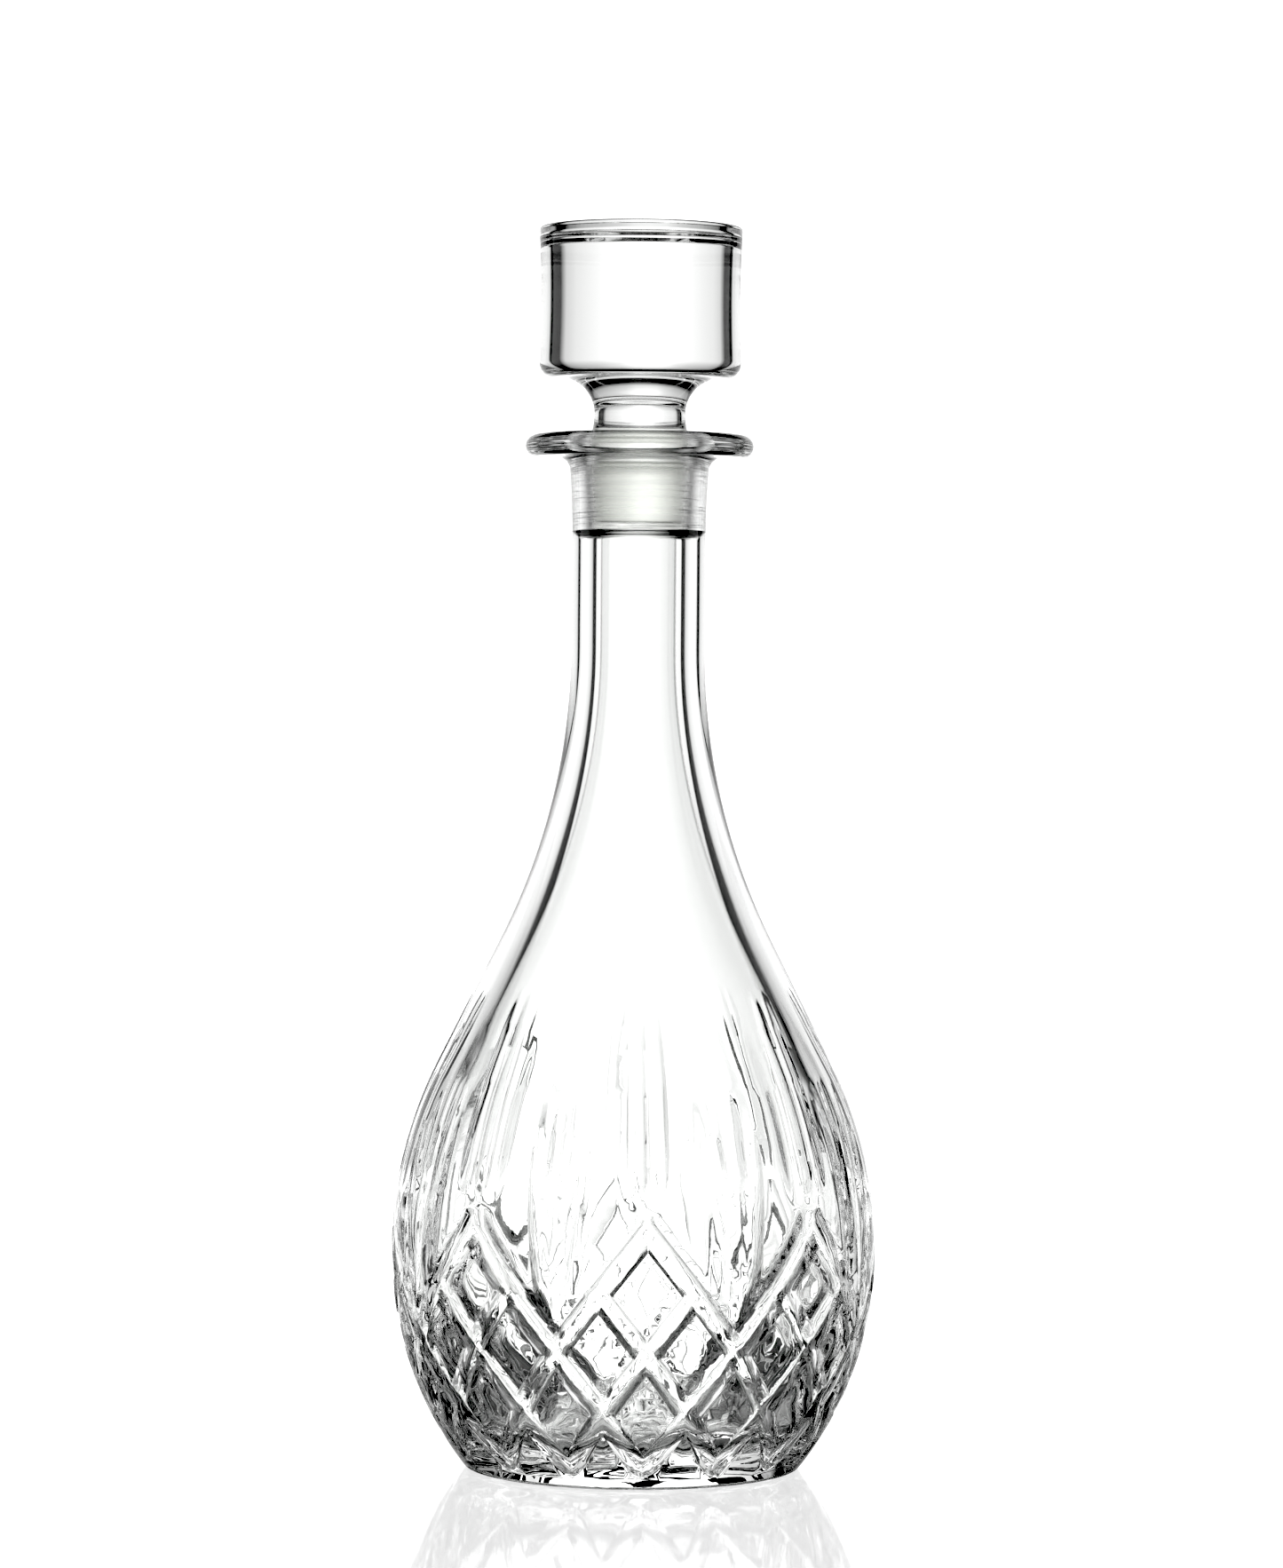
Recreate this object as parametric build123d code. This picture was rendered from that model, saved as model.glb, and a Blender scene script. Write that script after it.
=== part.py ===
"""Cut crystal decanter: a pear-shaped bottle with lattice and leaf cuts, and a drum stopper with a ground plug.

Frame: origin at the centre of the foot, on the plane that the bottle stands on. +Z runs up the axis to
the stopper. The middle arch of the cuts faces -Y, turned a little towards +X. All sizes in millimetres.
"""
from build123d import *
from math import acos, asin, cos, degrees, radians, sin, sqrt, tan
import os

# bottle, outside
belly_r = 62.5               # widest radius of the body
belly_z = 56.0               # height of the widest place
lower_sweep = 90.0           # radius of the arc from the belly down to the foot
upper_sweep = 108.0          # radius of the arc from the belly up to the shoulder
shoulder_slope = 26.6        # degrees from upright, of the straight shoulder cone
neck_r = 17.3                # outside radius of the neck
neck_sweep = 168.0           # radius of the hollow curve from the shoulder into the neck
neck_flare = 0.9             # how much wider the neck gets just under the lip
flare_h = 22.0               # height of that flare
lip_r = 29.5                 # outside radius of the lip
lip_t = 5.9                  # thickness of the lip, whose edge is fully round
lip_fillet = 3.5             # where the underside of the lip meets the neck
mouth_z = 266.5              # height of the lip's top face
heel_fillet = 2.5            # outer edge of the foot
foot_in_r = 35.0             # inner edge of the foot ring
punt_h = 1.6                 # hollow in the middle of the foot

# bottle, inside
wall = 7.5                   # glass all the way from the belly to the neck
floor_t = 11.0               # glass under the inside, at the wall
floor_rise = 1.5             # the inside floor is domed up by this much
floor_corner = 12.0          # radius where the inside floor meets the wall

# ground joint
seat_top_r = 12.7            # ground seat, at the lip's top face
seat_depth = 24.6            # ground seat, from the lip's top face down
ground_taper = 0.05          # radius lost for each mm down
joint_clearance = 0.05       # radial gap between the seat and the plug
mouth_round = 0.8            # softened edge of the mouth
step_fall = 2.0              # height of the funnel from the seat's lower edge in to the bore
step_round = 0.8             # softened upper edge of that funnel
mouth_over = 4.0             # how far the seat's cone is drawn past the mouth

# stopper
plug_above_step = 1.6        # the plug ends this far above the seat's lower edge
plug_round = 0.9
waist_r = 11.8               # stem, where it is thinnest
waist_z = 5.5                # height of that waist over the lip's top face
stem_sweep = 9.0             # radius of the curve from the waist out to the drum's underside
drum_low_r = 26.1            # drum, just over its heel
drum_mid_r = 25.75           # drum, where it is narrowest
drum_mid_part = 0.55         # height of that place, as a part of the drum's height
drum_top_r = 26.4            # drum, at its top edge
drum_h = 39.0                # drum, from its underside to its top face
drum_heel = 4.0              # lower edge of the drum
drum_edge = 1.1              # upper edge of the drum

# cuts, made with round-rimmed wheels
arches = 8                   # arches of the lattice round the body
arch_turn = 3.4              # degrees that the middle arch is turned from -Y
lattice_rim = 3.3            # half the thickness of the wheel for the lattice
apex_z = 66.4                # crossing at the top of each arch
valley_z = 36.0              # crossing in each valley
node_z = 34.4                # crossing under each apex
foot_end_z = 4.6             # where the lattice runs out near the foot
long_depth = 1.7             # cuts that form the arches
short_depth = 1.5            # cuts that start on the arches' sides
start_depth = 0.9            # depth of both at their upper ends
foot_end_depth = 0.5         # and at their lower ends

# upright leaves
leaf_rim = 3.9               # half the thickness of the wheel for the leaves
twin_turn = 2.6              # degrees from the arch's middle to each of its two leaves
twin_foot_z = 74.0
twin_top_z = 124.0
twin_top_turn = 2.3
twin_foot_depth = 0.5
twin_depth = 1.2
fan_foot_z = 44.5            # middle leaf in each valley
fan_middle_z = 72.0
fan_top_z = 101.0
fan_depth = 1.3
side_foot_z = 48.5           # leaves on either side of it
side_top_z = 90.0
side_depth = 1.1
side_foot_turn = 1.2         # degrees that they stand off the middle leaf, at the foot
side_middle_turn = 3.2
side_top_turn = 5.2
valley_foot_depth = 0.3      # depth of these three at the foot


def meridian(inset=0.0):
    """Corner points of the outside, or of a line that runs inset mm under it, from the belly up to the neck."""
    lean = radians(shoulder_slope)
    high = upper_sweep - inset
    hollow = neck_sweep + inset
    bore = neck_r - inset
    belly = (belly_r - inset, belly_z)
    half = (belly_r - upper_sweep + high * cos(lean / 2), belly_z + high * sin(lean / 2))
    shoulder = (belly_r - upper_sweep + high * cos(lean), belly_z + high * sin(lean))
    cone_r = bore + hollow * (1 - cos(lean))
    cone = (cone_r, shoulder[1] + (shoulder[0] - cone_r) / tan(lean))
    neck = (bore, cone[1] + hollow * sin(lean))
    hollow_half = (bore + hollow * (1 - cos(lean / 2)), neck[1] - hollow * sin(lean / 2))
    return belly, half, shoulder, cone, hollow_half, neck


def low_radius(z, inset=0.0):
    """Radius of the lower bowl at height z."""
    return belly_r - lower_sweep + sqrt((lower_sweep - inset) ** 2 - (belly_z - z) ** 2)


def round_corner(face, point, radius):
    return fillet(face.vertices().sort_by_distance(Vector(*point))[0], radius)


def turned(edges, corners):
    """Solid of revolution from an outline in (radius, height), with some of its corners rounded."""
    face = make_face(Wire(edges))
    for point, radius in corners:
        face = round_corner(face, point, radius)
    return revolve(Plane.XZ * face, axis=Axis.Z)


def bottle_blank():
    belly, half, shoulder, cone, hollow_half, neck = meridian()
    foot_r = low_radius(0)
    low_half_z = belly_z - lower_sweep * sin(asin(belly_z / lower_sweep) / 2)
    lip_under = mouth_z - lip_t
    lip_in = lip_r - lip_t / 2
    flare_r = neck_r + neck_flare
    edges = [
        Line((0, punt_h), (0, mouth_z)),
        Line((0, mouth_z), (lip_in, mouth_z)),
        ThreePointArc((lip_in, mouth_z), (lip_r, mouth_z - lip_t / 2), (lip_in, lip_under)),
        Line((lip_in, lip_under), (flare_r, lip_under)),
        TangentArc((neck_r, lip_under - flare_h), (flare_r, lip_under), tangent=(0, 1)),
        Line((neck_r, lip_under - flare_h), neck),
        ThreePointArc(neck, hollow_half, cone),
        Line(cone, shoulder),
        ThreePointArc(shoulder, half, belly),
        ThreePointArc(belly, (low_radius(low_half_z), low_half_z), (foot_r, 0)),
        Line((foot_r, 0), (foot_in_r, 0)),
        TangentArc((0, punt_h), (foot_in_r, 0), tangent=(1, 0)),
    ]
    return turned(edges, [((foot_r, 0), heel_fillet), ((flare_r, lip_under), lip_fillet)])


def hollow_inside():
    """Everything that is taken out of the blank from the mouth down."""
    belly, half, shoulder, cone, hollow_half, neck = meridian(wall)
    floor_r = low_radius(floor_t, wall)
    low_half_z = (belly_z + floor_t) / 2
    step_z = mouth_z - seat_depth
    seat_low_r = seat_top_r - ground_taper * seat_depth
    over_r = seat_top_r + ground_taper * mouth_over
    over_z = mouth_z + mouth_over
    edges = [
        Line((0, floor_t + floor_rise), (0, over_z)),
        Line((0, over_z), (over_r, over_z)),
        Line((over_r, over_z), (seat_low_r, step_z)),
        Line((seat_low_r, step_z), (neck[0], step_z - step_fall)),
        Line((neck[0], step_z - step_fall), neck),
        ThreePointArc(neck, hollow_half, cone),
        Line(cone, shoulder),
        ThreePointArc(shoulder, half, belly),
        ThreePointArc(belly, (low_radius(low_half_z, wall), low_half_z), (floor_r, floor_t)),
        TangentArc((0, floor_t + floor_rise), (floor_r, floor_t), tangent=(1, 0)),
    ]
    return turned(edges, [((floor_r, floor_t), floor_corner), ((seat_low_r, step_z), step_round)])


def on_glass(turn, z, depth):
    """Point depth mm under the body's skin, turn degrees round from the middle arch."""
    if z < belly_z:
        r, lean = low_radius(z), -asin((belly_z - z) / lower_sweep)
    else:
        shoulder = meridian()[2]
        lean = min(asin((z - belly_z) / upper_sweep), radians(shoulder_slope))
        r = belly_r - upper_sweep * (1 - cos(lean))
        if z > shoulder[1]:
            r = shoulder[0] - (z - shoulder[1]) * tan(lean)
    r -= depth * cos(lean)
    around = radians(turn + arch_turn - 90)
    return Vector(r * cos(around), r * sin(around), z - depth * sin(lean))


def wheel_cut(start, middle, end, rim):
    """Hollow cut with its bottom on the circle through three (turn, height, depth) points of the glass."""
    a, b, c = (on_glass(*point) for point in (start, middle, end))
    ab, ac = b - a, c - a
    normal = ab.cross(ac)
    to_centre = (normal.cross(ab) * ac.length**2 + ac.cross(normal) * ab.length**2) * (0.5 / normal.length**2)
    centre = a + to_centre
    out, normal = (a - centre).normalized(), normal.normalized()
    sweep = degrees(acos(out.dot((c - centre).normalized())))
    section = Plane(origin=centre + out * (to_centre.length + rim), x_dir=out, z_dir=out.cross(normal))
    return revolve(section * Circle(rim), axis=Axis(centre, normal), revolution_arc=sweep)


def one_pitch_of_cuts():
    """Cuts that belong to one arch and the valley beside it, in mirrored pairs."""
    pitch = 360 / arches
    valley = pitch / 2
    start_z = (apex_z + valley_z) / 2
    twin_middle_z = (twin_foot_z + twin_top_z) / 2
    side_middle_z = (side_foot_z + side_top_z) / 2
    cuts = []
    for side in (1, -1):
        start = (0, apex_z, start_depth)
        node = (side * valley, valley_z, long_depth)
        cuts.append(wheel_cut(start, node, (side * pitch, foot_end_z, foot_end_depth), lattice_rim))
        start = (-side * valley / 2, start_z, start_depth)
        node = (0, node_z, short_depth)
        cuts.append(wheel_cut(start, node, (side * valley, foot_end_z, foot_end_depth), lattice_rim))
        foot = (side * twin_turn, twin_foot_z, twin_foot_depth)
        middle = (side * twin_turn, twin_middle_z, twin_depth)
        cuts.append(wheel_cut(foot, middle, (side * twin_top_turn, twin_top_z, 0), leaf_rim))
        foot = (valley + side * side_foot_turn, side_foot_z, valley_foot_depth)
        middle = (valley + side * side_middle_turn, side_middle_z, side_depth)
        cuts.append(wheel_cut(foot, middle, (valley + side * side_top_turn, side_top_z, 0), leaf_rim))
    foot = (valley, fan_foot_z, valley_foot_depth)
    middle = (valley, fan_middle_z, fan_depth)
    cuts.append(wheel_cut(foot, middle, (valley, fan_top_z, 0), leaf_rim))
    return cuts


def make_bottle():
    bottle = bottle_blank() - hollow_inside()
    mouth = bottle.edges().filter_by(GeomType.CIRCLE).group_by(Axis.Z)[-1].sort_by(SortBy.RADIUS)[0]
    bottle = fillet(mouth, mouth_round)
    for cut in one_pitch_of_cuts():
        bottle -= [Rotation(0, 0, 360 / arches * number) * cut for number in range(arches)]
    return bottle


def make_stopper():
    plug_top_r = seat_top_r - joint_clearance
    plug_z = mouth_z - seat_depth + plug_above_step
    plug_low_r = plug_top_r - ground_taper * (mouth_z - plug_z)
    waist = mouth_z + waist_z
    under = waist + stem_sweep
    top = under + drum_h
    shift = stem_sweep * (1 - cos(radians(45)))
    edges = [
        Line((0, top), (0, plug_z)),
        Line((0, plug_z), (plug_low_r, plug_z)),
        Line((plug_low_r, plug_z), (plug_top_r, mouth_z)),
        TangentArc((waist_r, waist), (plug_top_r, mouth_z), tangent=(0, -1)),
        ThreePointArc((waist_r, waist), (waist_r + shift, under - shift), (waist_r + stem_sweep, under)),
        Line((waist_r + stem_sweep, under), (drum_low_r, under)),
        ThreePointArc((drum_low_r, under), (drum_mid_r, under + drum_h * drum_mid_part), (drum_top_r, top)),
        Line((drum_top_r, top), (0, top)),
    ]
    corners = [((plug_low_r, plug_z), plug_round), ((drum_low_r, under), drum_heel), ((drum_top_r, top), drum_edge)]
    return turned(edges, corners)


if __name__ == "__main__":
    os.makedirs("parts", exist_ok=True)
    for name, piece in (("bottle", make_bottle()), ("stopper", make_stopper())):
        solids = piece.solids()
        print(name, len(solids), "solid", round(piece.volume / 1000, 1), "ml of glass", piece.is_valid)
        piece.label = name
        export_step(piece, f"parts/{name}.step")
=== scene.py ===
import math
import bmesh
import bpy
import numpy as np
from mathutils import Matrix, Vector, noise


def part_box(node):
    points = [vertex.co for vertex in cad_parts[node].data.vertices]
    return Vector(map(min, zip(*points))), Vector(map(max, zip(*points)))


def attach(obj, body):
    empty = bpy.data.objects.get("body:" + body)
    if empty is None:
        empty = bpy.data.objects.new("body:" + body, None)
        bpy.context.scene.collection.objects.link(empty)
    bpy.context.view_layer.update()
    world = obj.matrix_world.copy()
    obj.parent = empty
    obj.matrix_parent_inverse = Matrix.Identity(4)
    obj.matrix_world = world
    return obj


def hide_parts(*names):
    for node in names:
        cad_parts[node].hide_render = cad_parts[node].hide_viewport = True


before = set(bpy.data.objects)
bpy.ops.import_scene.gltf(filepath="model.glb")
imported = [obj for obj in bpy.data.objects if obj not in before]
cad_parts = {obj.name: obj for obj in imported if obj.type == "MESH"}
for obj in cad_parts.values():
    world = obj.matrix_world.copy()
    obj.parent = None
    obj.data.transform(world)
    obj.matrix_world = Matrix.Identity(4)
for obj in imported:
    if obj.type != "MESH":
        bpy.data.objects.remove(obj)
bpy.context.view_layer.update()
bottleHigh = 1000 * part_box("bottle")[1]
stopperLow, stopperHigh = (1000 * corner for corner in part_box("stopper"))
print("frame loaded, bottle", round(bottleHigh.z, 1), "mm tall")

# all shapes are worked out in millimetres and shrunk to metres at the end
columns = 128                    # faces round the bottle and the stopper
archTurn = 3.4                   # the middle arch is turned this far from the front
weldReach = 0.002                # points closer than this become one


def arc(centre, radius, start, end, steps):
    # points (radius, height) along an arc, both ends included, angles in degrees from the outward direction
    angles = [math.radians(start + (end - start) * step / steps) for step in range(steps + 1)]
    return [(centre[0] + radius * math.cos(a), centre[1] + radius * math.sin(a)) for a in angles]


def between(first, last, steps):
    # evenly spaced points from first to last, both ends left out
    parts = [step / steps for step in range(1, steps)]
    return [(first[0] + (last[0] - first[0]) * p, first[1] + (last[1] - first[1]) * p) for p in parts]


def rounded(before, corner, after, radius, steps):
    # points of the arc that rounds a corner between two straight runs
    corner, before, after = Vector(corner), Vector(before), Vector(after)
    inward, onward = (before - corner).normalized(), (after - corner).normalized()
    half = inward.angle(onward) / 2
    centre = corner + (inward + onward).normalized() * radius / math.sin(half)
    start = corner + inward * radius / math.tan(half) - centre
    turn = start.angle_signed(corner + onward * radius / math.tan(half) - centre)
    points = []
    for step in range(steps + 1):
        spot = start.copy()
        spot.rotate(Matrix.Rotation(-turn * step / steps, 2))
        points.append(tuple(centre + spot))
    return points


def spun(bm, outline):
    # turns an outline of (radius, height) points about the axis, starting at the middle arch
    start = math.radians(archTurn - 90)
    chain = [bm.verts.new((r * math.cos(start), r * math.sin(start), z)) for r, z in outline]
    edges = [bm.edges.new(pair) for pair in zip(chain, chain[1:])]
    bmesh.ops.spin(bm, geom=chain + edges, cent=(0, 0, 0), axis=(0, 0, 1), angle=math.tau,
                   steps=columns, use_merge=True)


def finished(bm, name, body, node):
    # one closed shell in metres, faces outwards, riding on its body in place of its CAD node
    bmesh.ops.remove_doubles(bm, verts=bm.verts, dist=weldReach)
    bmesh.ops.dissolve_degenerate(bm, edges=bm.edges, dist=weldReach)
    bmesh.ops.recalc_face_normals(bm, faces=bm.faces)
    bmesh.ops.scale(bm, vec=(0.001, 0.001, 0.001), verts=bm.verts)
    for face in bm.faces:
        face.smooth = True
    openEdges = sum(not edge.is_manifold for edge in bm.edges)
    mesh = bpy.data.meshes.new(name)
    bm.to_mesh(mesh)
    bm.free()
    piece = bpy.data.objects.new(name, mesh)
    bpy.context.scene.collection.objects.link(piece)
    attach(piece, body)
    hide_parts(node)
    print(name, "has", len(mesh.loops) - 2 * len(mesh.polygons), "triangles,", openEdges, "open edges")
    return piece


# the bottle's outline
bottle = {
    "bellyHeight": 56.0, "lowerSweep": 90.0, "upperSweep": 108.0, "shoulderSlope": 26.6,
    "neckRadius": 17.3, "neckSweep": 168.0, "neckFlare": 0.9, "flareHeight": 22.0,
    "lipRadius": 29.5, "lipThickness": 5.9, "lipFillet": 3.5,
    "heelFillet": 2.5, "footInside": 35.0, "punt": 1.6,
    "wall": 7.5, "floor": 11.0, "floorRise": 1.5, "floorCorner": 12.0,
    "seatRadius": 12.7, "seatDepth": 24.6, "groundTaper": 0.05, "mouthRound": 0.8,
    "stepFall": 2.0, "stepRound": 0.8, "boreRound": 2.0,
    "stippleWidth": 4.5, "stippleHeight": 0.5, "stippleEdge": 5.0,
}
rings = {                        # rings of faces in each part of the outline
    "heel": 5, "foot": 3, "punt": 18, "cone": 4, "neckSweep": 22, "neck": 8, "flare": 6,
    "lipFillet": 7, "lipUnder": 3, "lipEdge": 14, "lipTop": 6, "mouth": 5, "seat": 10, "step": 3,
    "funnel": 3, "boreEdge": 4, "bore": 5, "insideCone": 8, "belly": 16, "corner": 11, "floor": 16,
}
bellyRadius = 62.5
slope = math.radians(bottle["shoulderSlope"])
lowCentre = (bellyRadius - bottle["lowerSweep"], bottle["bellyHeight"])
highCentre = (bellyRadius - bottle["upperSweep"], bottle["bellyHeight"])
shoulder = (highCentre[0] + bottle["upperSweep"] * math.cos(slope),
            highCentre[1] + bottle["upperSweep"] * math.sin(slope))
coneRadius = bottle["neckRadius"] + bottle["neckSweep"] * (1 - math.cos(slope))
coneHeight = shoulder[1] + (shoulder[0] - coneRadius) / math.tan(slope)
neckHeight = coneHeight + bottle["neckSweep"] * math.sin(slope)


def skin(height):
    # radius of the uncut body and the upward lean of its normal, for heights up to the shoulder cone
    low = np.clip((bottle["bellyHeight"] - height) / bottle["lowerSweep"], 0, 1)
    high = np.clip((height - bottle["bellyHeight"]) / bottle["upperSweep"], 0, math.sin(slope))
    lean = np.arcsin(high) - np.arcsin(low)
    radius = bellyRadius - bottle["lowerSweep"] * (1 - np.sqrt(1 - low ** 2))
    radius -= bottle["upperSweep"] * (1 - np.sqrt(1 - high ** 2))
    return radius - np.maximum(height - shoulder[1], 0) * math.tan(slope), lean


# the cuts, in degrees round from an arch's middle and millimetres up
cuts = {
    "arches": 8,
    "apex": 66.4, "rowDrop": 15.5,           # the top crossings, and the fall from one row to the next
    "longDepth": 1.7, "shortDepth": 1.5, "latticeRim": 3.3,
    "footFade": (2.8, 8.0), "fadePower": 0.7,  # the lattice comes up to full depth between these heights
    "runOut": 1.5,                           # how steeply a lattice cut ends past its start
    "twinTurn": 2.5, "twin": (74.0, 124.0), "twinDepth": 1.2,
    "fan": (43.0, 101.0), "fanDepth": 1.3,
    "side": (47.0, 91.0), "sideDepth": 1.1, "sideTurns": (1.4, 5.6),
    "leafRim": 3.9,                          # radius of the wheel's round rim, as latticeRim
    "leafWidest": 0.32,                      # how far up a leaf is at its widest
    "edgeSoftness": 0.12,                    # how round the cuts' edges are
}
# the inside's soft print of the cuts, and its unevenness in millimetres low down and high up
waves = {
    "pressed": 0.5, "softness": 0.7, "upTo": 110,
    "low": 1.0, "high": 0.08, "calming": (25, 70), "size": 11.0,
    "fineShare": 0.4, "fineness": 2.1, "inward": 0.6,
}
pitch = 360 / cuts["arches"]
dropPerDegree = cuts["rowDrop"] / (pitch / 4)


def smoothStep(value, low, high):
    part = np.clip((value - low) / (high - low), 0, 1)
    return part * part * (3 - 2 * part)


def grooveSection(depth, distance, rim):
    # depth under the skin of a cut by a round-rimmed wheel, below zero outside the cut
    steepest = 0.95                              # past this share of the rim the section goes on straight
    near = np.minimum(distance, steepest * rim)
    return depth - rim + np.sqrt(rim ** 2 - near ** 2) - 3 * (distance - near)


def latticeCut(turn, height, startTurn, startHeight, side, depth, pointed):
    # one slanting cut, from its start down to the foot, running towards +side
    radius, lean = skin(height)
    across = math.pi / 180 * radius
    down = dropPerDegree / np.cos(lean)
    offset = turn - (startTurn + side * (startHeight - height) / dropPerDegree)
    distance = np.abs(offset) * across * down / np.sqrt(across ** 2 + down ** 2)
    fade = smoothStep(height, *cuts["footFade"]) ** cuts["fadePower"]
    past = -side * (turn - startTurn) * across if pointed else height - startHeight
    full = depth * fade - cuts["runOut"] * np.maximum(past - 0.5, 0)
    full -= 0.25 * np.maximum(cuts["footFade"][0] + 2 - height, 0)
    return grooveSection(full, distance, cuts["latticeRim"])


def leafCut(turn, height, lowTurn, highTurn, span, depth):
    # one upright leaf, blunt at its foot and drawn out to a point at its top
    radius = skin(height)[0]
    along = (height - span[0]) / (span[1] - span[0])
    middle = lowTurn + (highTurn - lowTurn) * along
    distance = np.abs(turn - middle) * math.pi / 180 * radius
    widest = cuts["leafWidest"]
    below = np.abs(np.minimum(along - widest, 0) / widest) ** 3
    above = np.abs(np.maximum(along - widest, 0) / (1 - widest)) ** 1.8
    return grooveSection(depth * (1 - below - above), distance, cuts["leafRim"])


def allCuts(turn, height):
    # every cut near one half pitch, mirrored where it leaves it
    quarter, half = pitch / 4, pitch / 2
    found = []
    for middle in (0, pitch):
        for side in (1, -1):
            found.append(latticeCut(turn, height, middle, cuts["apex"], side, cuts["longDepth"], True))
            start = (middle - side * quarter, cuts["apex"] - cuts["rowDrop"])
            found.append(latticeCut(turn, height, *start, side, cuts["shortDepth"], False))
            twin = middle + side * cuts["twinTurn"]
            found.append(leafCut(turn, height, twin, twin, cuts["twin"], cuts["twinDepth"]))
    lowTurn, highTurn = cuts["sideTurns"]
    found.append(leafCut(turn, height, half, half, cuts["fan"], cuts["fanDepth"]))
    for side in (1, -1):
        found.append(leafCut(turn, height, half + side * lowTurn, half + side * highTurn,
                             cuts["side"], cuts["sideDepth"]))
    return np.array(found)


def cutDepth(turn, height):
    # depth of the glass that is cut away, with softly rounded edges
    raw = allCuts(turn, height).max(axis=0)
    soft = cuts["edgeSoftness"]
    return np.where(raw > soft, raw, np.where(raw < -soft, 0, (raw + soft) ** 2 / (4 * soft)))


def flat(verts):
    return np.array([v.co.x for v in verts]), np.array([v.co.y for v in verts])


slide = 0.35                     # a sheet point this near a line moves onto it
onLineReach = 0.01               # and this near it counts as on it
probe = 0.02                     # step for measuring slopes


def drawLine(bm, level):
    # gives the sheet edges along the line where level(turn, height) is zero
    bmesh.ops.triangulate(bm, faces=bm.faces)
    verts = list(bm.verts)
    turn, height = flat(verts)
    value = level(turn, height)
    slopeX = (level(turn + probe, height) - level(turn - probe, height)) / (2 * probe)
    slopeY = (level(turn, height + probe) - level(turn, height - probe)) / (2 * probe)
    steep = slopeX ** 2 + slopeY ** 2 + 1e-9
    for index, v in enumerate(verts):
        reach = abs(value[index]) / math.sqrt(steep[index])
        if v.tag or v.is_boundary or not reach < slide:
            continue
        v.co.x -= value[index] * slopeX[index] / steep[index]
        v.co.y -= value[index] * slopeY[index] / steep[index]
        v.tag = True
    turn, height = flat(verts)
    value = level(turn, height)
    bm.verts.index_update()
    onLine = [v for v, number in zip(verts, value) if abs(number) < onLineReach]
    crossing = [e for e in bm.edges if value[e.verts[0].index] * value[e.verts[1].index] < 0]
    crossing = [e for e in crossing if min(abs(value[v.index]) for v in e.verts) >= onLineReach]
    low, high = np.zeros(len(crossing)), np.ones(len(crossing))
    if crossing:
        ax, ay = flat([e.verts[0] for e in crossing])
        bx, by = flat([e.verts[1] for e in crossing])
        startsBelow = level(ax, ay) < 0
        for halving in range(14):
            middle = (low + high) / 2
            below = level(ax + (bx - ax) * middle, ay + (by - ay) * middle) < 0
            low = np.where(below == startsBelow, middle, low)
            high = np.where(below == startsBelow, high, middle)
    for edge, part in zip(crossing, (low + high) / 2):
        newVert = bmesh.utils.edge_split(edge, edge.verts[0], float(part))[1]
        newVert.tag = True
        onLine.append(newVert)
    bmesh.ops.connect_verts(bm, verts=onLine)


def halfPitchSheet():
    # a flat sheet of one half pitch, x round and y up, with edges where the cuts need them
    bm = bmesh.new()
    across, rows = columns // cuts["arches"] // 2, 64
    sheetTop, sheetLow = cuts["twin"][1] + 3.0, 2.6
    bmesh.ops.create_grid(bm, x_segments=across, y_segments=rows, size=1)
    bmesh.ops.translate(bm, verts=bm.verts, vec=(1, -1, 0))
    bmesh.ops.scale(bm, verts=bm.verts, vec=(pitch / 4, (sheetTop - sheetLow) / 2, 1))
    bmesh.ops.translate(bm, verts=bm.verts, vec=(0, sheetTop, 0))
    for middle in (0, pitch):
        for side in (1, -1):
            for pointed in (True, False):
                drawLine(bm, lambda t, h: centreLine(t, h, middle, side, pointed))
    soft = cuts["edgeSoftness"]
    for level in (0.0, -soft, soft, 0.5, 1.0):   # the cuts' edges, then two lines down their sides
        drawLine(bm, lambda t, h: allCuts(t, h).max(axis=0) - level)
    twinLow, twinHigh = cuts["twin"]
    drawLine(bm, lambda t, h: np.where((h > twinLow) & (h < twinHigh), t - cuts["twinTurn"], np.nan))
    bmesh.ops.triangulate(bm, faces=bm.faces)
    return bm, sheetTop, sheetLow


def centreLine(turn, height, middle, side, pointed):
    # signed offset from the bottom line of one lattice cut, nowhere past the cut's ends
    top = cuts["apex"] if pointed else cuts["apex"] - cuts["rowDrop"]
    start = middle if pointed else middle - side * pitch / 4
    offset = turn - (start + side * (top - height) / dropPerDegree)
    outside = (height > top + 1) | (height < cuts["footFade"][0] + 1)
    return np.where(outside, np.nan, offset)


def insideVerts(bm):
    # points of the inner skin, from the floor to a little above the shoulder's start
    b = bottle
    low = [v for v in bm.verts if b["floor"] - 1 < v.co.z < waves["upTo"]]
    outside = skin(np.array([v.co.z for v in low]))[0]
    return [v for v, limit in zip(low, outside) if v.co.xy.length < limit - 0.75 * b["wall"]]


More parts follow.
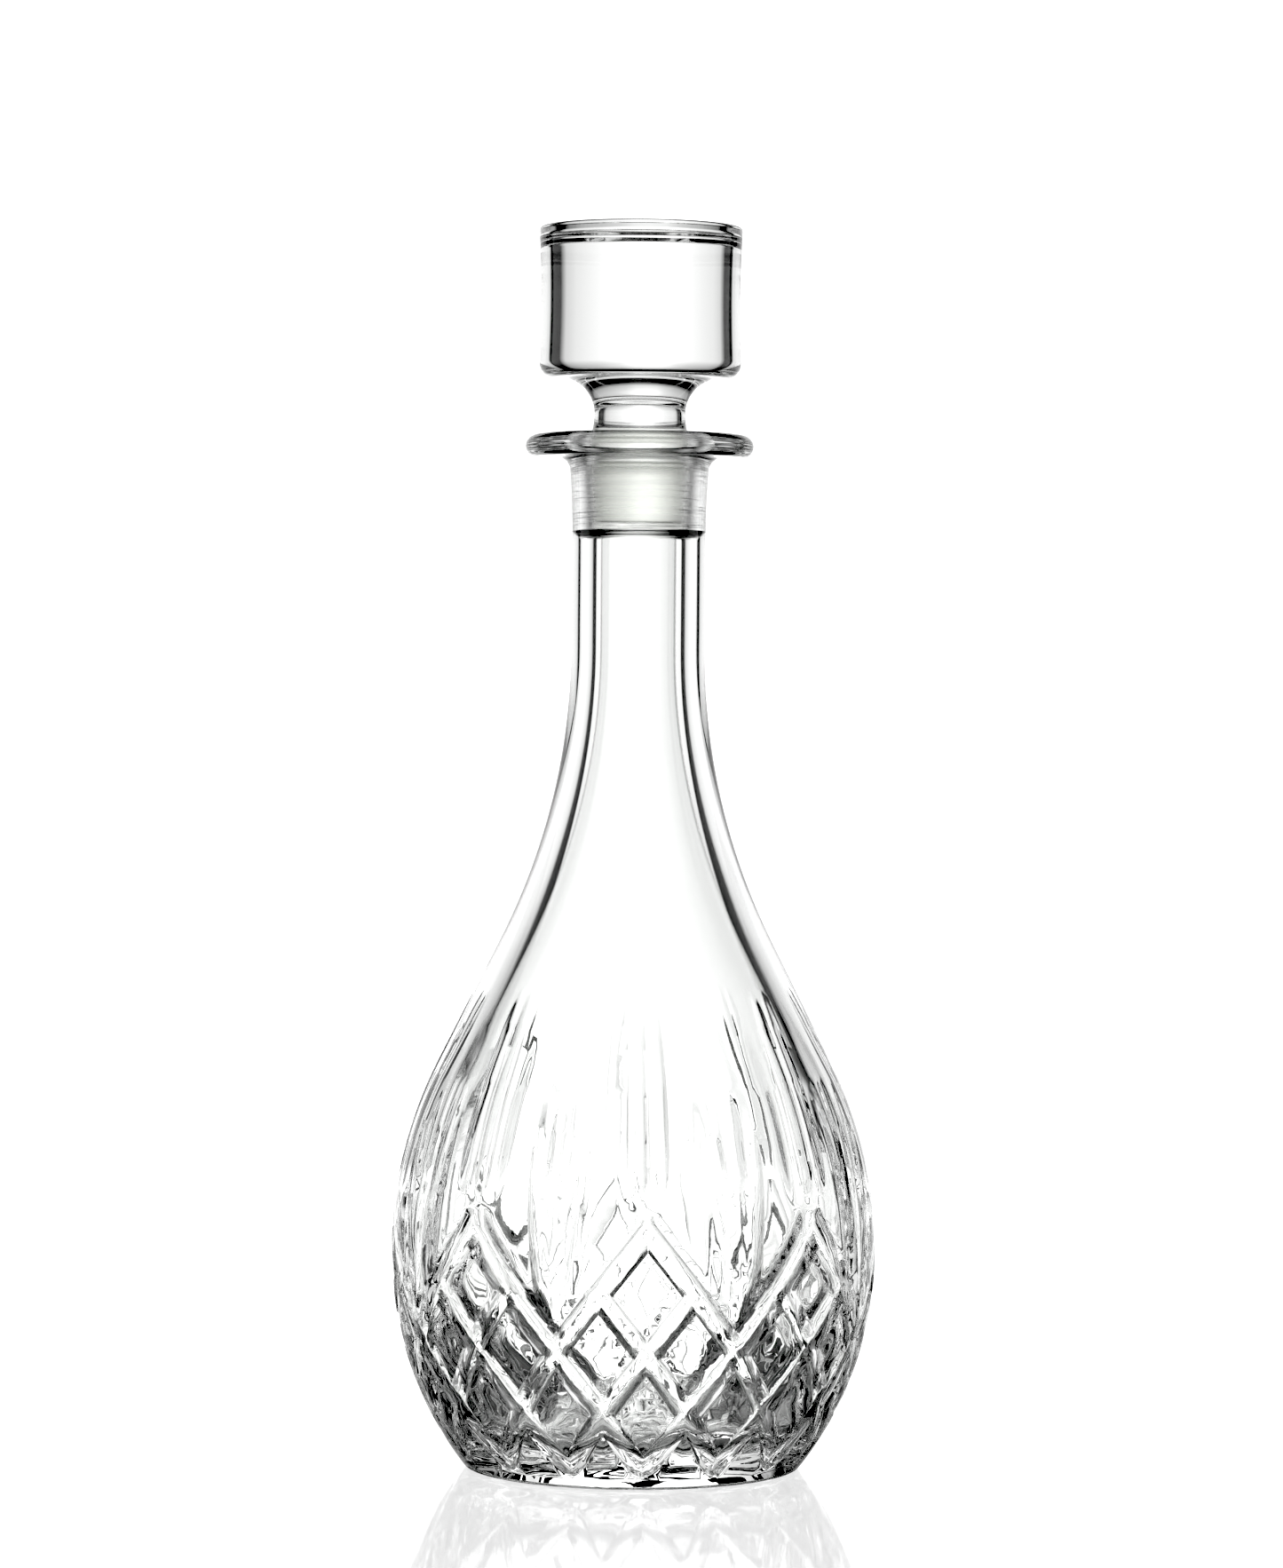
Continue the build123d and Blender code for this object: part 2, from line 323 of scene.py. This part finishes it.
def waveInside(bm):
    # the glass was pressed, so the inside follows the cuts softly; low down it's also a little uneven
    b = bottle
    span = (b["floor"] + b["floorCorner"] + 1, shoulder[1] - 4)
    fine = {v for v in insideVerts(bm) if span[0] < v.co.z < span[1]}
    edges = [edge for edge in bm.edges if edge.verts[0] in fine and edge.verts[1] in fine]
    bmesh.ops.subdivide_edges(bm, edges=edges, cuts=1, use_grid_fill=True)
    inner = insideVerts(bm)
    height = np.array([v.co.z for v in inner])
    sweep = np.where(height > b["bellyHeight"], b["upperSweep"], b["lowerSweep"])
    radius = bellyRadius - sweep + np.sqrt((sweep - b["wall"]) ** 2 - (height - b["bellyHeight"]) ** 2)
    matching = b["bellyHeight"] + (height - b["bellyHeight"]) * sweep / (sweep - b["wall"])
    turn = np.array([math.degrees(math.atan2(v.co.y, v.co.x)) + 90 - archTurn for v in inner]) % pitch
    turn = np.minimum(turn, pitch - turn)
    soft = waves["softness"]
    pressed = (soft * np.log1p(np.exp(allCuts(turn, matching) / soft))).max(axis=0) * waves["pressed"]
    pressed *= smoothStep(height, b["floor"] + 5, b["floor"] + 12)
    centre = Vector((0, 0, b["bellyHeight"]))
    for v, trueRadius, push in zip(inner, radius, pressed):
        if span[0] < v.co.z < span[1]:
            v.co.xy *= trueRadius / v.co.xy.length
        swell = waves["low"] + (waves["high"] - waves["low"]) * float(smoothStep(v.co.z, *waves["calming"]))
        broad = noise.noise(v.co / waves["size"])
        fine = noise.noise(v.co / waves["size"] * waves["fineness"])
        uneven = broad + waves["fineShare"] * fine + waves["inward"]
        v.co += (centre - v.co).normalized() * (swell * uneven + push)


def stippleFoot(bm):
    # the hollow under the foot is roughly stippled, and the ring it stands on less and less
    b = bottle
    edge = b["footInside"] + b["stippleEdge"]
    for v in bm.verts:
        radius = v.co.xy.length
        if v.co.z > 3 or radius > edge:
            continue
        rough = noise.noise(v.co / b["stippleWidth"]) + 0.5 * noise.noise(v.co / 2.1)
        v.co.z += b["stippleHeight"] * abs(rough) * float(smoothStep(radius, edge, b["footInside"] + 1))


def bottleMesh():
    b = bottle
    bm, sheetTop, sheetLow = halfPitchSheet()
    print("half pitch sheet has", len(bm.faces), "triangles")
    turn, height = flat(bm.verts)
    radius, lean = skin(height)
    depth = cutDepth(turn, height)
    for v, t, h, r, l, d in zip(bm.verts, turn, height, radius, lean, depth):
        around = math.radians(t + archTurn - 90)
        r -= d * math.cos(l)
        v.co = (r * math.cos(around), r * math.sin(around), h - d * math.sin(l))
    mirrorTurn = Matrix.Rotation(math.radians(archTurn - 90), 3, "Z")
    flip = mirrorTurn @ Matrix.Diagonal((1, -1, 1)) @ mirrorTurn.inverted()
    twinSheet = bmesh.ops.duplicate(bm, geom=bm.verts[:] + bm.edges[:] + bm.faces[:])["geom"]
    twinVerts = [v for v in twinSheet if isinstance(v, bmesh.types.BMVert)]
    bmesh.ops.transform(bm, matrix=flip.to_4x4(), verts=twinVerts)
    bmesh.ops.reverse_faces(bm, faces=[f for f in twinSheet if isinstance(f, bmesh.types.BMFace)])
    onePitch = bm.verts[:] + bm.edges[:] + bm.faces[:]
    for number in range(1, cuts["arches"]):
        copy = bmesh.ops.duplicate(bm, geom=onePitch)["geom"]
        turnBy = Matrix.Rotation(math.radians(pitch * number), 3, "Z")
        bmesh.ops.rotate(bm, matrix=turnBy, verts=[v for v in copy if isinstance(v, bmesh.types.BMVert)])

    # foot: heel, flat ring and the hollow in the middle
    n = rings
    heel = (lowCentre[0] + math.sqrt(b["lowerSweep"] ** 2 - b["bellyHeight"] ** 2), 0)
    wallPoint = (float(skin(np.array([sheetLow]))[0][0]), sheetLow)
    foot = [wallPoint] + rounded(wallPoint, heel, (b["footInside"], 0), b["heelFillet"], n["heel"])
    foot += between(foot[-1], (b["footInside"], 0), n["foot"])
    puntRadius = (b["footInside"] ** 2 + b["punt"] ** 2) / (2 * b["punt"])
    puntAngle = math.degrees(math.asin(b["footInside"] / puntRadius))
    foot += arc((0, b["punt"] - puntRadius), puntRadius, 90 - puntAngle, 90, n["punt"])
    spun(bm, foot)
    stippleFoot(bm)

    # from the top of the cut sheet over the lip and down the inside to the middle of the floor
    mouth = bottleHigh.z
    lipUnder, lipIn = mouth - b["lipThickness"], b["lipRadius"] - b["lipThickness"] / 2
    flare = b["neckRadius"] + b["neckFlare"]
    top = (float(skin(np.array([sheetTop]))[0][0]), sheetTop)
    wall = [top] + between(top, (coneRadius, coneHeight), n["cone"])
    hollow = b["neckRadius"] + b["neckSweep"]
    wall += arc((hollow, neckHeight), b["neckSweep"], 180 + b["shoulderSlope"], 180, n["neckSweep"])
    flareStart = (b["neckRadius"], lipUnder - b["flareHeight"])
    wall += between(wall[-1], flareStart, n["neck"])
    sweep = (b["flareHeight"] ** 2 + b["neckFlare"] ** 2) / (2 * b["neckFlare"])
    flareEnd = math.degrees(math.asin((b["flareHeight"] - b["lipFillet"]) / sweep))
    wall += arc((b["neckRadius"] + sweep, flareStart[1]), sweep, 180, 180 - flareEnd, n["flare"])
    wall += rounded(wall[-1], (flare, lipUnder), (lipIn, lipUnder), b["lipFillet"], n["lipFillet"])
    wall += between(wall[-1], (lipIn, lipUnder), n["lipUnder"])
    wall += arc((lipIn, mouth - b["lipThickness"] / 2), b["lipThickness"] / 2, -90, 90, n["lipEdge"])
    stepHeight = mouth - b["seatDepth"]
    seatLow = (b["seatRadius"] - b["groundTaper"] * b["seatDepth"], stepHeight)
    bore = b["neckRadius"] - b["wall"]
    mouthEdge = rounded((lipIn, mouth), (b["seatRadius"], mouth), seatLow, b["mouthRound"], n["mouth"])
    wall += between(wall[-1], mouthEdge[0], n["lipTop"]) + mouthEdge
    funnelEnd = (bore, stepHeight - b["stepFall"])
    stepCorner = rounded(mouthEdge[-1], seatLow, funnelEnd, b["stepRound"], n["step"])
    wall += between(wall[-1], stepCorner[0], n["seat"]) + stepCorner
    funnelCorner = rounded(seatLow, funnelEnd, (bore, neckHeight), b["boreRound"], n["boreEdge"])
    wall += between(wall[-1], funnelCorner[0], n["funnel"]) + funnelCorner
    wall += between(wall[-1], (bore, neckHeight), n["bore"])
    insideSweep = b["neckSweep"] + b["wall"]
    wall += arc((hollow, neckHeight), insideSweep, 180, 180 + b["shoulderSlope"], n["neckSweep"])
    innerHigh = b["upperSweep"] - b["wall"]
    innerShoulder = (highCentre[0] + innerHigh * math.cos(slope), highCentre[1] + innerHigh * math.sin(slope))
    wall += between(wall[-1], innerShoulder, n["insideCone"])
    wall += arc(highCentre, innerHigh, b["shoulderSlope"], 0, n["belly"])
    innerLow = b["lowerSweep"] - b["wall"]
    cornerSweep = innerLow - b["floorCorner"]
    roundTop = math.degrees(math.asin((b["bellyHeight"] - b["floor"] - b["floorCorner"]) / cornerSweep))
    wall += arc(lowCentre, innerLow, 0, -roundTop, n["belly"])[1:]
    roundRadius = lowCentre[0] + cornerSweep * math.cos(math.radians(roundTop))
    roundCentre = (roundRadius, b["floor"] + b["floorCorner"])
    wall += arc(roundCentre, b["floorCorner"], -roundTop, -88, n["corner"])[1:]
    floorRadius = (wall[-1][0] ** 2 + b["floorRise"] ** 2) / (2 * b["floorRise"])
    floorAngle = math.degrees(math.asin(wall[-1][0] / floorRadius))
    floorTop = wall[-1][1] + b["floorRise"]
    wall += arc((0, floorTop - floorRadius), floorRadius, 90 - floorAngle, 90, n["floor"])[1:]
    spun(bm, wall)
    waveInside(bm)
    return bm


bottlePiece = finished(bottleMesh(), "crystal_bottle", "bottle", "bottle")

# the stopper's outline
stopper = {
    "plugRadius": 12.65, "plugRound": 0.9, "groundTaper": 0.05,
    "waistRadius": 11.8, "waistHeight": 5.5, "stemSweep": 9.0,
    "drumLow": 26.1, "drumMiddle": 25.75, "drumRim": 26.4, "drumHeel": 4.0, "drumEdge": 1.1,
    "sideRings": 17, "sideShare": 0.97,      # rings up the drum's side, and how near its top they come
}


def stopperMesh():
    s = stopper
    mouth, plugLow = bottleHigh.z, stopperLow.z
    waist, drumTop = mouth + s["waistHeight"], stopperHigh.z
    under, rim = waist + s["stemSweep"], (s["drumRim"], drumTop)
    plugEnd = (s["plugRadius"] - s["groundTaper"] * (mouth - plugLow), plugLow)
    outline = [(0, plugLow)] + between((0, plugLow), plugEnd, 4)[:-1]
    outline += rounded((0, plugLow), plugEnd, (s["plugRadius"], mouth), s["plugRound"], 4)
    outline += between(outline[-1], (s["plugRadius"], mouth), 10) + [(s["plugRadius"], mouth)]
    lean = s["plugRadius"] - s["waistRadius"]
    neckArc = (s["waistHeight"] ** 2 + lean ** 2) / (2 * lean)
    neckAngle = math.degrees(math.asin(s["waistHeight"] / neckArc))
    outline += arc((s["waistRadius"] + neckArc, waist), neckArc, 180 + neckAngle, 180, 7)[1:]
    outline += arc((s["waistRadius"] + s["stemSweep"], waist), s["stemSweep"], 180, 90, 14)[1:]
    heel = rounded(outline[-1], (s["drumLow"], under), (s["drumLow"], drumTop), s["drumHeel"], 10)
    outline += heel
    low, high = Vector((s["drumLow"], heel[-1][1])), Vector(rim)
    middle = Vector((s["drumMiddle"], (heel[-1][1] + drumTop) / 2))
    for step in range(1, s["sideRings"] + 1):    # the hollow side is a curve through three points
        p = step / s["sideRings"] * s["sideShare"]
        outline.append(tuple(low * (1 - p) * (1 - 2 * p) + middle * 4 * p * (1 - p) + high * p * (2 * p - 1)))
    edge = rounded(outline[-1], rim, (0, drumTop), s["drumEdge"], 6)
    outline += edge
    outline += between(edge[-1], (0, drumTop), 8) + [(0, drumTop)]
    bm = bmesh.new()
    spun(bm, outline)
    return bm


stopperPiece = finished(stopperMesh(), "crystal_stopper", "stopper", "stopper")


# glass
glass = {
    "ior": 1.54, "polish": 0.0, "waviness": 0.015, "waveSize": 22.0,
    "clear": (0.984, 0.99, 0.984), "ground": (0.94, 0.948, 0.925),
    "groundRoughness": 0.26, "roughnessSpread": 0.15,
    "marks": (25, 25, 900), "markDetail": 3, "markStrength": 0.5,
}


def newMaterial(name, colour, roughness, ior):
    material = bpy.data.materials.new(name)
    material.use_nodes = True
    shader = material.node_tree.nodes["Principled BSDF"]
    shader.inputs["Base Color"].default_value = (*colour, 1)
    shader.inputs["Roughness"].default_value = roughness
    shader.inputs["IOR"].default_value = ior
    return material, shader


def addBump(material, shader, heightSocket, strength, distance):
    bump = material.node_tree.nodes.new("ShaderNodeBump")
    bump.inputs["Strength"].default_value = strength
    bump.inputs["Distance"].default_value = distance
    material.node_tree.links.new(heightSocket, bump.inputs["Height"])
    material.node_tree.links.new(bump.outputs["Normal"], shader.inputs["Normal"])


def clearGlass(name, colour):
    material, shader = newMaterial(name, colour, glass["polish"], glass["ior"])
    shader.inputs["Transmission Weight"].default_value = 1
    nodes, links = material.node_tree.nodes, material.node_tree.links
    where = nodes.new("ShaderNodeTexCoord")
    slow = nodes.new("ShaderNodeTexNoise")       # the slow waviness of fire-polished glass
    slow.inputs["Scale"].default_value = glass["waveSize"]
    slow.inputs["Detail"].default_value = 1.0
    links.new(where.outputs["Object"], slow.inputs["Vector"])
    addBump(material, shader, slow.outputs["Fac"], glass["waviness"], 0.01)
    return material


def groundGlass(name, colour):
    material, shader = newMaterial(name, colour, glass["groundRoughness"], glass["ior"])
    shader.inputs["Transmission Weight"].default_value = 1
    nodes, links = material.node_tree.nodes, material.node_tree.links
    where = nodes.new("ShaderNodeTexCoord")
    stretch = nodes.new("ShaderNodeMapping")     # grinding marks run round the seat
    stretch.inputs["Scale"].default_value = glass["marks"]
    marks = nodes.new("ShaderNodeTexNoise")
    marks.inputs["Scale"].default_value = 1
    marks.inputs["Detail"].default_value = glass["markDetail"]
    links.new(where.outputs["Object"], stretch.inputs["Vector"])
    links.new(stretch.outputs["Vector"], marks.inputs["Vector"])
    rough = nodes.new("ShaderNodeMapRange")
    rough.inputs["To Min"].default_value = glass["groundRoughness"] - glass["roughnessSpread"]
    rough.inputs["To Max"].default_value = glass["groundRoughness"] + glass["roughnessSpread"]
    links.new(marks.outputs["Fac"], rough.inputs["Value"])
    links.new(rough.outputs["Result"], shader.inputs["Roughness"])
    addBump(material, shader, marks.outputs["Fac"], glass["markStrength"], 0.0008)
    return material


def paintGround(piece, low, high, radiusLimit):
    # faces of the ground cone take the second material
    for face in piece.data.polygons:
        centre = face.center * 1000
        if low < centre.z < high and centre.xy.length < radiusLimit:
            face.material_index = 1


bottlePiece.data.materials.append(clearGlass("bottle_crystal", glass["clear"]))
bottlePiece.data.materials.append(groundGlass("bottle_ground_seat", glass["ground"]))
stopperPiece.data.materials.append(clearGlass("stopper_crystal", glass["clear"]))
stopperPiece.data.materials.append(groundGlass("stopper_ground_plug", glass["ground"]))
groundLow = bottleHigh.z - bottle["seatDepth"] - bottle["stepFall"] - 0.5
paintGround(bottlePiece, groundLow, bottleHigh.z - 0.9, bottle["seatRadius"] + 0.1)
paintGround(stopperPiece, stopperLow.z - 0.1, bottleHigh.z - 0.5, stopper["plugRadius"] + 0.35)
print("glass done")

# floor, light and camera
studio = {
    "floorRadius": 0.24, "floorGlow": 0.74, "floorGloss": 0.35, "floorPolish": 0.05,
    "underBottle": (0.044, 0.062),           # painted shadow under the foot: the floor's glow fades out between these distances, m
    "panel": 1.6, "aside": 0.07,
    # brightness by degrees round from straight behind, and by degrees up from level
    "round": [(0, 1.0), (6, 0.96), (12, 0.76), (20, 0.64), (33, 0.54), (40, 0.42), (45, 0.02),
              (56, 0.01), (59, 0.6), (82, 0.7), (96, 0.25), (110, 0.18), (135, 0.4), (180, 0.45)],
    "up": [(-90, 0.01), (-34, 0.02), (-26, 0.35), (-14, 0.8), (-7, 1.0), (9, 1.0), (17, 0.8),
           (30, 0.55), (37, 0.04), (90, 0.01)],
    "top": [(-90, 0.0), (50, 0.0), (56, 0.5), (72, 0.6), (90, 0.4)],
    # painted light and shade on the floor as the glass sees it: bright behind, dark at the sides
    "floorPaintedLight": [(0, 1.7), (14, 1.5), (24, 0.0), (110, 0.0), (125, 0.85), (180, 1.0)],
    "card": {"radius": 0.074, "turn": 80, "middle": 0.0075, "ends": 0.028, "rise": (16, 33), "parts": 30},
}


def greyRamp(nodes, stops, whole):
    ramp = nodes.new("ShaderNodeValToRGB")
    elements = ramp.color_ramp.elements
    for place, value in stops[2:]:
        elements.new(place / whole)
    for element, (place, value) in zip(elements, stops):
        element.position = place / whole
    for element, (place, value) in zip(elements, stops):
        element.color = (value, value, value, 1)
    return ramp


def byHeight(nodes, stops):
    # 0 is straight down, 0.5 level and 1 straight up, the stops are in degrees up from level
    return greyRamp(nodes, [((1 + math.sin(math.radians(up))) / 2, value) for up, value in stops], 1)


def roundFromBehind(nodes, links, split):
    # 0 straight behind the decanter, 1 straight in front of it, the same on both sides
    aside = nodes.new("ShaderNodeMath")          # the light stands a little to the left
    aside.operation = "MULTIPLY_ADD"
    aside.inputs[1].default_value = studio["aside"]
    links.new(split.outputs["Y"], aside.inputs[0])
    links.new(split.outputs["X"], aside.inputs[2])
    sideways = nodes.new("ShaderNodeMath")
    sideways.operation = "ABSOLUTE"
    links.new(aside.outputs[0], sideways.inputs[0])
    angle = nodes.new("ShaderNodeMath")
    angle.operation = "ARCTAN2"
    links.new(sideways.outputs[0], angle.inputs[0])
    links.new(split.outputs["Y"], angle.inputs[1])
    part = nodes.new("ShaderNodeMath")
    part.operation = "DIVIDE"
    part.inputs[1].default_value = math.pi
    links.new(angle.outputs[0], part.inputs[0])
    return part.outputs[0]


def addFloor():
    bm = bmesh.new()
    bmesh.ops.create_circle(bm, cap_ends=True, segments=96, radius=studio["floorRadius"])
    mesh = bpy.data.meshes.new("floor")
    bm.to_mesh(mesh)
    bm.free()
    floor = bpy.data.objects.new("floor", mesh)
    bpy.context.scene.collection.objects.link(floor)
    floor.location.z = -0.0002
    material = bpy.data.materials.new("pale_floor")
    material.use_nodes = True
    nodes, links = material.node_tree.nodes, material.node_tree.links
    nodes.clear()
    glow = nodes.new("ShaderNodeEmission")
    where = nodes.new("ShaderNodeNewGeometry")
    reach = nodes.new("ShaderNodeVectorMath")
    reach.operation = "LENGTH"
    links.new(where.outputs["Position"], reach.inputs[0])
    paintedShadow = nodes.new("ShaderNodeMapRange")    # painted shadow: the floor's glow fades out under the foot
    paintedShadow.interpolation_type = "SMOOTHSTEP"
    paintedShadow.inputs["From Min"].default_value = studio["underBottle"][0]
    paintedShadow.inputs["From Max"].default_value = studio["underBottle"][1]
    links.new(reach.outputs["Value"], paintedShadow.inputs["Value"])
    split = nodes.new("ShaderNodeSeparateXYZ")
    links.new(where.outputs["Position"], split.inputs[0])
    # painted light and shade: the floor glows bright behind and dark at the sides
    lit = greyRamp(nodes, studio["floorPaintedLight"], 180)
    links.new(roundFromBehind(nodes, links, split), lit.inputs[0])
    seen = nodes.new("ShaderNodeMath")
    seen.operation = "MULTIPLY"
    links.new(paintedShadow.outputs["Result"], seen.inputs[0])
    links.new(lit.outputs["Color"], seen.inputs[1])
    # the camera sees the floor evenly bright, rays through the glass see the painted light, shade and shadow
    paths = nodes.new("ShaderNodeLightPath")
    pick = nodes.new("ShaderNodeMix")
    pick.inputs["B"].default_value = studio["floorGlow"]
    links.new(paths.outputs["Is Camera Ray"], pick.inputs["Factor"])
    links.new(seen.outputs[0], pick.inputs["A"])
    links.new(pick.outputs["Result"], glow.inputs["Strength"])
    gloss = nodes.new("ShaderNodeBsdfGlossy")
    gloss.inputs["Roughness"].default_value = studio["floorPolish"]
    gloss.inputs["Color"].default_value = (studio["floorGloss"],) * 3 + (1,)
    both = nodes.new("ShaderNodeAddShader")
    out = nodes.new("ShaderNodeOutputMaterial")
    links.new(glow.outputs[0], both.inputs[0])
    links.new(gloss.outputs[0], both.inputs[1])
    links.new(both.outputs[0], out.inputs["Surface"])
    mesh.materials.append(material)


def addCard():
    # a low black card bent round behind the foot, taller at its ends, darkens the glass of the base
    card = studio["card"]
    bm = bmesh.new()
    rows = []
    for step in range(-card["parts"], card["parts"] + 1):
        turn = card["turn"] * step / card["parts"]
        around = math.radians(90 - turn)
        rise = float(smoothStep(abs(turn), *card["rise"]))
        height = card["middle"] + (card["ends"] - card["middle"]) * rise
        spot = (card["radius"] * math.cos(around), card["radius"] * math.sin(around))
        rows.append([bm.verts.new((*spot, z)) for z in (0, height)])
    for (low, high), (nextLow, nextHigh) in zip(rows, rows[1:]):
        bm.faces.new((low, nextLow, nextHigh, high))
    mesh = bpy.data.meshes.new("black_card")
    bm.to_mesh(mesh)
    bm.free()
    material = newMaterial("black_card", (0.004, 0.004, 0.004), 0.9, 1.4)[0]
    mesh.materials.append(material)
    piece = bpy.data.objects.new("black_card", mesh)
    bpy.context.scene.collection.objects.link(piece)
    piece.visible_camera = False
    piece.visible_glossy = False


def addWorld():
    # a bright wall behind, dark flags on both sides of it, paler light round the sides and front
    world = bpy.data.worlds.new("studio")
    bpy.context.scene.world = world
    world.use_nodes = True
    nodes, links = world.node_tree.nodes, world.node_tree.links
    nodes.clear()
    where = nodes.new("ShaderNodeTexCoord")
    split = nodes.new("ShaderNodeSeparateXYZ")
    links.new(where.outputs["Generated"], split.inputs[0])
    ramp = greyRamp(nodes, studio["round"], 180)
    links.new(roundFromBehind(nodes, links, split), ramp.inputs[0])
    up = nodes.new("ShaderNodeMath")
    up.operation = "MULTIPLY_ADD"
    up.inputs[1].default_value = 0.5
    up.inputs[2].default_value = 0.5
    links.new(split.outputs["Z"], up.inputs[0])
    upRamp = byHeight(nodes, studio["up"])
    links.new(up.outputs[0], upRamp.inputs[0])
    top = byHeight(nodes, studio["top"])
    links.new(up.outputs[0], top.inputs[0])
    shade = nodes.new("ShaderNodeMix")
    shade.data_type = "RGBA"
    shade.blend_type = "MULTIPLY"
    shade.inputs[0].default_value = 1
    links.new(ramp.outputs["Color"], shade.inputs[6])
    links.new(upRamp.outputs["Color"], shade.inputs[7])
    light = nodes.new("ShaderNodeMix")
    light.data_type = "RGBA"
    light.blend_type = "ADD"
    light.inputs[0].default_value = 1
    links.new(shade.outputs[2], light.inputs[6])
    links.new(top.outputs["Color"], light.inputs[7])
    paths = nodes.new("ShaderNodeLightPath")
    pick = nodes.new("ShaderNodeMix")
    pick.data_type = "RGBA"
    pick.inputs[7].default_value = (1, 1, 1, 1)
    links.new(paths.outputs["Is Camera Ray"], pick.inputs[0])
    links.new(light.outputs[2], pick.inputs[6])
    background = nodes.new("ShaderNodeBackground")
    background.inputs["Strength"].default_value = studio["panel"]
    links.new(pick.outputs[2], background.inputs["Color"])
    out = nodes.new("ShaderNodeOutputWorld")
    links.new(background.outputs[0], out.inputs["Surface"])


camera = {"distance": 1.35, "eyeHeight": 0.200, "tilt": 1.0, "roll": 0.45, "lens": 120.0, "aside": 0.0010}


def addCamera():
    data = bpy.data.cameras.new("camera")
    data.lens = camera["lens"]
    data.sensor_width = 36
    eye = bpy.data.objects.new("camera", data)
    bpy.context.scene.collection.objects.link(eye)
    eye.location = (camera["aside"], -camera["distance"], camera["eyeHeight"])
    eye.rotation_euler = (math.radians(90 - camera["tilt"]), math.radians(-camera["roll"]), 0)
    bpy.context.scene.camera = eye


addFloor()
addCard()
addWorld()
addCamera()
bpy.context.scene.view_settings.view_transform = "Standard"
view = bpy.context.scene.view_settings
view.use_curve_mapping = True                # deeper blacks
view.curve_mapping.black_level = (0.09, 0.09, 0.09)
view.curve_mapping.white_level = (0.97, 0.97, 0.97)
view.curve_mapping.update()
bpy.context.scene.cycles.max_bounces = 32
bpy.context.scene.cycles.transmission_bounces = 32
bpy.context.scene.cycles.glossy_bounces = 8
print("studio done")
